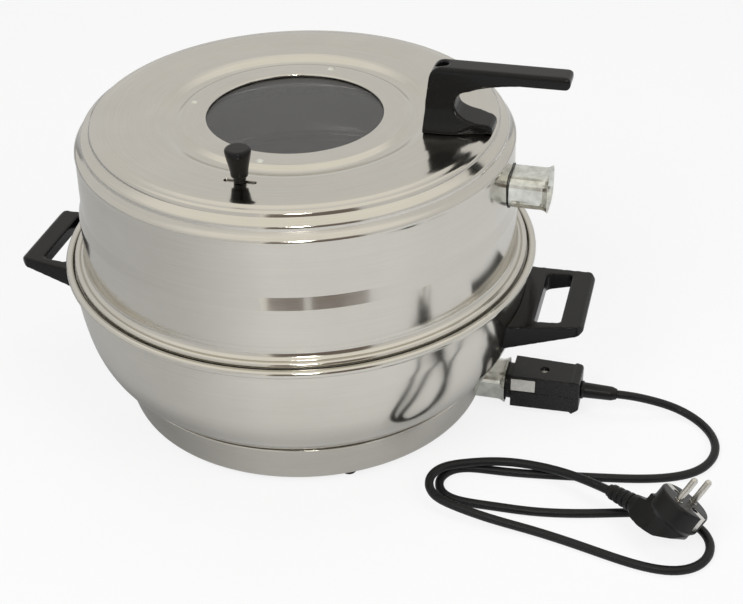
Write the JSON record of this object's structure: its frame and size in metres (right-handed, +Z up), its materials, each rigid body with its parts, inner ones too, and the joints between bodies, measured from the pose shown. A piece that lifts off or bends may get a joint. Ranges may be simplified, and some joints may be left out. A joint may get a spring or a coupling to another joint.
{
  "type": "electric pizza maker",
  "caption": "Round countertop oven for pizza: spun metal bowl on a base ring, lift-off lid with a window, vent knob and side handle, and a detachable cord set.",
  "frame": {"origin": "on the body's axis, on the surface that the feet stand on", "axes": "+Z up along the body's axis; +X points out through both inlets, under the lid handle"},
  "size_m": [0.5483, 0.3536, 0.2795],
  "materials": {
    "spun_aluminium": "polished, fine brushing round the axis",
    "plain_aluminium": "satin",
    "plated_steel": "satin",
    "zinc_collar": "dull zinc",
    "bakelite": "satin black",
    "ceramic": null,
    "insulation": "mineral wool",
    "glass": "smoked",
    "silicone": "matt",
    "rubber": "matt",
    "cord_rubber": "satin",
    "contact_brass": "satin",
    "heating_rod": "dark oxide"
  },
  "bodies": {
    "base": {"base_shell": "spun_aluminium", "base_ring": "spun_aluminium", "bottom_plate": "plain_aluminium", "bottom_screws": "plated_steel", "rubber_feet": "rubber", "foot_screws": "plated_steel", "inner_liner": "plain_aluminium", "base_insulation": "insulation", "base_element": "heating_rod", "base_element_posts": "plated_steel", "terminal_bushings": "ceramic", "base_leads": "contact_brass", "base_inlet_collar": "zinc_collar", "base_inlet_insulator": "ceramic", "base_inlet_pins": "plated_steel", "right_handle": "bakelite", "left_handle": "bakelite", "handle_screws": "plated_steel"},
    "pan": {"baking_pan": "plain_aluminium"},
    "lid": {"lid_shell": "spun_aluminium", "window_glass": "glass", "window_gasket": "silicone", "window_retainer": "plain_aluminium", "window_rivets": "plated_steel", "lid_reflector": "plain_aluminium", "lid_element": "heating_rod", "lid_element_hangers": "plated_steel", "lid_inlet_collar": "zinc_collar", "lid_inlet_gasket": "rubber", "lid_inlet_insulator": "ceramic", "lid_inlet_pins": "plated_steel", "lid_handle": "bakelite", "lid_handle_screws": "plated_steel"},
    "vent": {"vent_knob": "bakelite", "vent_screw": "plated_steel", "vent_shutter": "plain_aluminium"},
    "cord_set": {"connector_upper": "bakelite", "connector_lower": "bakelite", "connector_contacts": "contact_brass", "connector_earth_strips": "plated_steel", "connector_screw": "plated_steel", "connector_boot": "rubber", "cord": "cord_rubber", "plug_boot": "rubber", "plug_body": "rubber", "plug_pins": "plated_steel", "plug_earth_clips": "plated_steel"}
  },
  "joints": [
    {"name": "lid_lift", "type": "slide", "parent": "base", "child": "lid", "axis": [0, 0, 1], "range_m": [0, 0.15]},
    {"name": "pan_lift", "type": "slide", "parent": "base", "child": "pan", "axis": [0, 0, 1], "range_m": [0, 0.04]},
    {"name": "vent_slide", "type": "slide", "parent": "lid", "child": "vent", "axis": [1, 0, 0], "range_m": [-0.008, 0.008]},
    {"name": "connector_pull", "type": "slide", "parent": "base", "child": "cord_set", "axis": [1, 0, 0], "range_m": [0, 0.03]}
  ]
}
